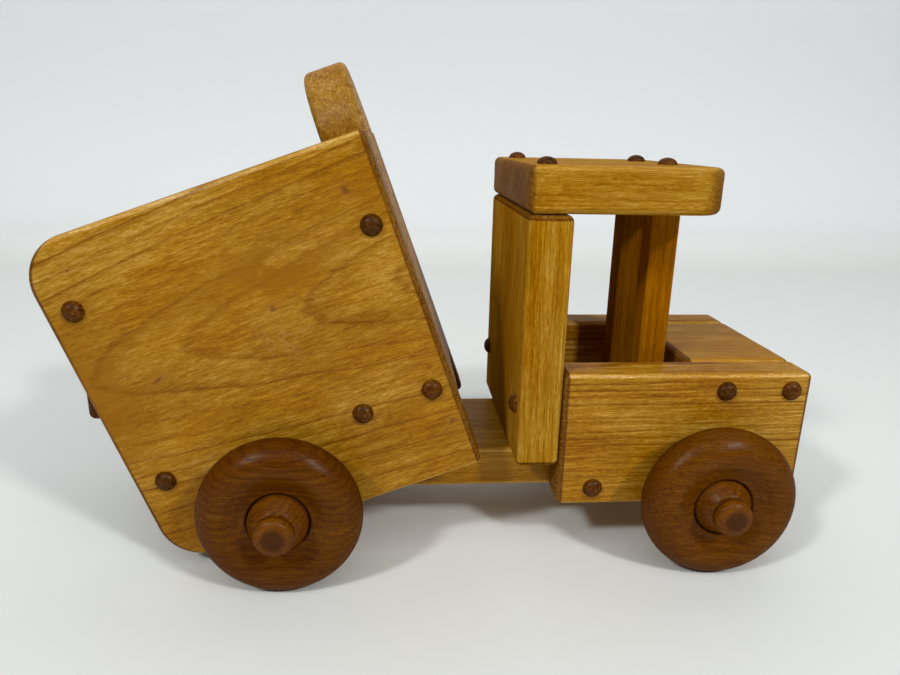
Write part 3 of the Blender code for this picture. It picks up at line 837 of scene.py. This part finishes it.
PEG_WOODS = [
    wood("wood_peg_%d" % number, PEG_WOOD, grain='Z', pith=(3.0 + number, 2.0 - 2 * number, 7.0 * number),
         spacing=1.6, rings=0.7, warp=1.5, edge_wear_and_sheen=0.0, ends=0.35, figure=1.2, contrast=2.2, tone=tone)
    for number, tone in enumerate((0.80, 0.66, 0.95))]
AXLE_WOOD = wood("wood_axle_peg", PEG_WOOD, grain='Z', pith=(6, -9, 0), spacing=2.0, rings=0.7, warp=2.0,
                 edge_wear_and_sheen=0.0, ends=0.2, marks=oiled_and_shaded_head)


def build_chassis():
    board("chassis_board",
          wood("wood_chassis", LIGHT_WOOD, pith=(0, 8, 90), spacing=3.2, rings=0.8, tone=1.1))
    tones = {"right": 1.05, "left": 0.97}
    for hand, side in SIDES:
        names = ["hood_peg_%s_%d" % (hand, number) for number in (1, 2, 3)]
        pegs = [(name, 'Y', PEG_RADIUS) for name in names]
        pegs.append(("axle_peg_front_" + hand, 'Y', AXLE_RADIUS))
        board("hood_side_" + hand,
              wood("wood_hood_side_" + hand, LIGHT_WOOD, pith=(100, side * 30, 190), lean=(1.0, 0.5),
                   spacing=3.1, rings=2.0, warp=3.0, figure=0.9, contrast=1.45, edge_wear_and_sheen=1.6,
                   tone=tones[hand]),
              pegs=pegs)
        for number, name in enumerate(names, 1):
            peg(name, (0, side, 0), PEG_WOODS[number % len(PEG_WOODS)])
    board("hood_top_board",
          wood("wood_hood_top", LIGHT_WOOD, pith=(150, -25, 20), lean=(1.5, 0.5), spacing=4.2, rings=0.8,
               tone=0.95))


def build_cab():
    back_pegs = ["back_panel_peg_" + hand for hand, _ in SIDES]
    roof_pegs = ["roof_peg_%s_%s" % (row, hand) for row in ("back", "front") for hand, _ in SIDES]
    board("cab_back_panel",
          wood("wood_cab_panel", LIGHT_WOOD, grain='Z', pith=(100, -35, 100), lean=(0.8, 0.8), spacing=3.6,
               rings=0.7, warp=4.0, figure=0.6, contrast=1.2, coat=0.0, edge_wear_and_sheen=0.4, tone=0.95),
          axis='X', pegs=[(name, 'X', PEG_RADIUS) for name in back_pegs])
    board("cab_roof",
          wood("wood_cab_roof", LIGHT_WOOD, pith=(60, 20, 230), lean=(0.6, 1.2), spacing=4.5, rings=0.35,
               figure=1.3, contrast=1.25, edge_wear_and_sheen=0.5, ends=0.55, coat=0.08),
          outline=roof_outline, axis='Z', pegs=[(name, 'Z', PEG_RADIUS) for name in roof_pegs])
    for index, (hand, _) in enumerate(SIDES):
        # Painted shade: the left post's tone is 0.60 against the right's 0.90, for the darker shade that falls on
        # it under the roof
        board("windshield_post_" + hand,
              wood("wood_post_" + hand, AMBER_WOOD, grain='Z', pith=(140 + 20 * index, -30, 100),
                   spacing=3.0, rings=0.6, warp=3.0, coat=0.0, tone=(0.90, 0.60)[index]),
              axis='Z', edge=POST_EDGE_ROUND)
        peg("back_panel_peg_" + hand, (-1, 0, 0), PEG_WOODS[2 - index])
        peg("roof_peg_back_" + hand, (0, 0, 1), PEG_WOODS[1 + index])
        peg("roof_peg_front_" + hand, (0, 0, 1), PEG_WOODS[2 - index])


def build_bed():
    side_looks = {
        "right": dict(pith=(-14, -9, 74), lean=(0.0, 6.0), tone=0.98, marks=bed_side_marks),
        "left": dict(pith=(0, 20, 74), lean=(0.0, 4.0)),
    }
    gate_pegs = {hand: ("tailgate_pivot_peg_" + hand, 'Y', PEG_RADIUS) for hand, _ in SIDES}
    for hand, side in SIDES:
        names = ["bed_peg_%s_%d" % (hand, number) for number in (1, 2, 3, 4)]
        pegs = [(name, 'Y', PEG_RADIUS) for name in names]
        pegs += [gate_pegs[hand], ("axle_peg_rear_" + hand, 'Y', AXLE_RADIUS)]
        board("bed_side_" + hand,
              wood("wood_bed_side_" + hand, LIGHT_WOOD, spacing=4.4, rings=1.35, contrast=1.15, figure=0.2,
                   edge_wear_and_sheen=1.5, **side_looks[hand]),
              outline=bed_side_outline, place=BED, pegs=pegs)
        for number, name in enumerate(names, 1):
            peg(name, (0, side, 0), PEG_WOODS[number % len(PEG_WOODS)], BED)
        peg("tailgate_pivot_peg_" + hand, (0, side, 0), PEG_WOODS[0], BED)
    board("bed_floor",
          wood("wood_bed_floor", LIGHT_WOOD, pith=(0, 15, -40), lean=(2.0, 1.0), rings=0.85), place=BED)
    board("bed_front_panel",
          wood("wood_bed_front", LIGHT_WOOD, grain='Y', pith=(40, 0, 95), lean=(1.0, 2.0), rings=0.8,
               figure=1.2, contrast=1.5, edge_wear_and_sheen=0.4, ends=0.30),
          outline=arch_outline, axis='X', place=BED)
    board("tailgate",
          wood("wood_tailgate", DARK_WOOD, grain='Y', pith=(45, 0, -20), lean=(1.0, 1.0), spacing=3.0,
               rings=0.9),
          place=GATE, pegs=list(gate_pegs.values()))


def build_wheels():
    wheel_looks = {
        "rear_right": dict(pith=(0, -130, -40), lean=(1.0, 1.5), spacing=3.1, rings=0.85, warp=4.0,
                           bow=-0.0035, soft=0.60, tone=0.93),
        "rear_left": dict(pith=(10, 90, -50), lean=(3.0, -2.0), spacing=3.2),
        "front_right": dict(pith=(5, -95, 60), lean=(3.0, 4.0), spacing=4.5, rings=0.55, warp=6.0,
                            bow=0.004, soft=0.35, tone=0.98),
        "front_left": dict(pith=(0, 80, 45), lean=(1.0, -4.0), rings=0.8, tone=1.05),
    }
    bore = AXLE_RADIUS + RUNNING_GAP
    for end in ("rear", "front"):
        for hand, side in SIDES:
            name = "%s_%s" % (end, hand)
            pivot = Vector(joints["wheel_%s_spin" % name]["pos_m"])
            place = Matrix.Translation(pivot) @ Matrix.Rotation(-side * math.pi / 2, 4, 'X')
            wheel = turned("wheel_%s_wood" % name, wheel_profile(bore), WHEEL_SIDES, place)
            settle(wheel, "wheel_" + name,
                   wood("wood_wheel_" + name, DARK_WOOD, edge_wear_and_sheen=0.0, figure=0.25, ends=0.08, contrast=1.15,
                        coat=0.16, gloss=0.20, **wheel_looks[name]))

            low, high = extent("hub_washer_" + name, place)
            profile = washer_profile(bore, high.x, low.z, high.z - WASHER_GROOVE)
            washer = turned("hub_washer_%s_wood" % name, profile, WHEEL_SIDES, place)
            settle(washer, "hub_washer_" + name,
                   wood("wood_washer_" + name, DARK_WOOD, pith=(20, -30, 5), lean=(10.0, -25.0),
                        spacing=2.2, warp=2.0, edge_wear_and_sheen=0.0, ends=0.1, tone=1.15, soft=0.5))

            low, high = extent("axle_peg_" + name, place)
            head = place @ Matrix.Translation((0.0, 0.0, high.z - AXLE_HEAD_LENGTH))
            shank = high.z - AXLE_HEAD_LENGTH - low.z
            axle = turned("axle_peg_%s_wood" % name, axle_profile(shank, high.x), AXLE_SIDES, head)
            settle(axle, "axle_peg_" + name, AXLE_WOOD)


# ---------------------------------------------------------------- stage, lights and camera


def build_stage():
    """A table that curves up into a wall."""
    profile = [(STAGE_FRONT, 0.0), (WALL_Y - COVE_RADIUS, 0.0)]
    profile += [(WALL_Y - COVE_RADIUS + COVE_RADIUS * math.sin(math.radians(angle)),
                 COVE_RADIUS * (1 - math.cos(math.radians(angle))))
                for angle in range(COVE_STEP, 90 + COVE_STEP, COVE_STEP)]
    profile.append((WALL_Y, WALL_TOP))
    shape = bmesh.new()
    rows = [[shape.verts.new((x, y, z)) for x in (-STAGE_HALF, STAGE_HALF)] for y, z in profile]
    for low, high in zip(rows, rows[1:]):
        shape.faces.new((low[0], low[1], high[1], high[0]))
    stage = new_object("stage", shape, WORLD)
    stage.data.shade_smooth()
    material = bpy.data.materials.new("pale_stage")
    material.use_nodes = True
    tree = material.node_tree
    surface = tree.nodes["Principled BSDF"]
    coordinates = tree.nodes.new("ShaderNodeTexCoord")
    height = add_node(tree, "ShaderNodeSeparateXYZ", [coordinates.outputs["Object"]]).outputs["Z"]
    colour = mix_colour(tree, smooth_step(tree, height, *FLOOR_TO_WALL), FLOOR_COLOUR, WALL_COLOUR)
    # Painted shade: darker colour towards the wall's top, for the light falling off up the wall
    colour = mix_colour(tree, smooth_step(tree, height, *WALL_TO_SHADED_HIGH_WALL), colour, SHADED_HIGH_WALL_COLOUR)
    tree.links.new(colour, surface.inputs["Base Color"])
    surface.inputs["Roughness"].default_value = STAGE_ROUGHNESS
    stage.data.materials.append(material)


def build_room():
    """The room gives a faint glow, but looks pale past the table's edge."""
    world = bpy.data.worlds.new("soft_studio")
    world.use_nodes = True
    tree = world.node_tree
    sky = tree.nodes["Background"]
    sky.inputs["Color"].default_value = ROOM_COLOUR
    seen = add_node(tree, "ShaderNodeLightPath").outputs["Is Camera Ray"]
    link_or_set(tree, sky.inputs["Strength"], mix_number(tree, seen, ROOM_GLOW, ROOM_SEEN))
    bpy.context.scene.world = world


def build_lights():
    for name, place, target, size, power in LIGHTS:
        lamp = bpy.data.lights.new(name, 'AREA')
        lamp.shape = 'RECTANGLE'
        lamp.size, lamp.size_y = size
        lamp.energy = power
        thing = bpy.data.objects.new(name, lamp)
        bpy.context.scene.collection.objects.link(thing)
        thing.location = place
        thing.rotation_mode = 'QUATERNION'
        thing.rotation_quaternion = (Vector(target) - Vector(place)).to_track_quat('-Z', 'Y')


def build_camera():
    forward = Vector((math.sin(CAMERA_YAW) * math.cos(CAMERA_PITCH),
                      math.cos(CAMERA_YAW) * math.cos(CAMERA_PITCH),
                      -math.sin(CAMERA_PITCH)))
    level = Vector((math.cos(CAMERA_YAW), -math.sin(CAMERA_YAW), 0.0))
    above = level.cross(forward)
    right = math.cos(CAMERA_ROLL) * level + math.sin(CAMERA_ROLL) * above
    up = math.cos(CAMERA_ROLL) * above - math.sin(CAMERA_ROLL) * level
    data = bpy.data.cameras.new("camera")
    data.sensor_width = SENSOR
    data.lens = SENSOR * FOCAL_PIXELS / IMAGE_WIDTH
    data.clip_start = CLIP_START
    camera = bpy.data.objects.new("camera", data)
    bpy.context.scene.collection.objects.link(camera)
    turn = Matrix((right, up, -forward)).transposed().to_4x4()
    camera.matrix_world = Matrix.Translation(CAMERA_PLACE) @ turn
    bpy.context.scene.camera = camera


build_chassis()
build_cab()
build_bed()
build_wheels()
build_stage()
build_room()
build_lights()
build_camera()
bpy.context.scene.view_settings.view_transform = 'Standard'
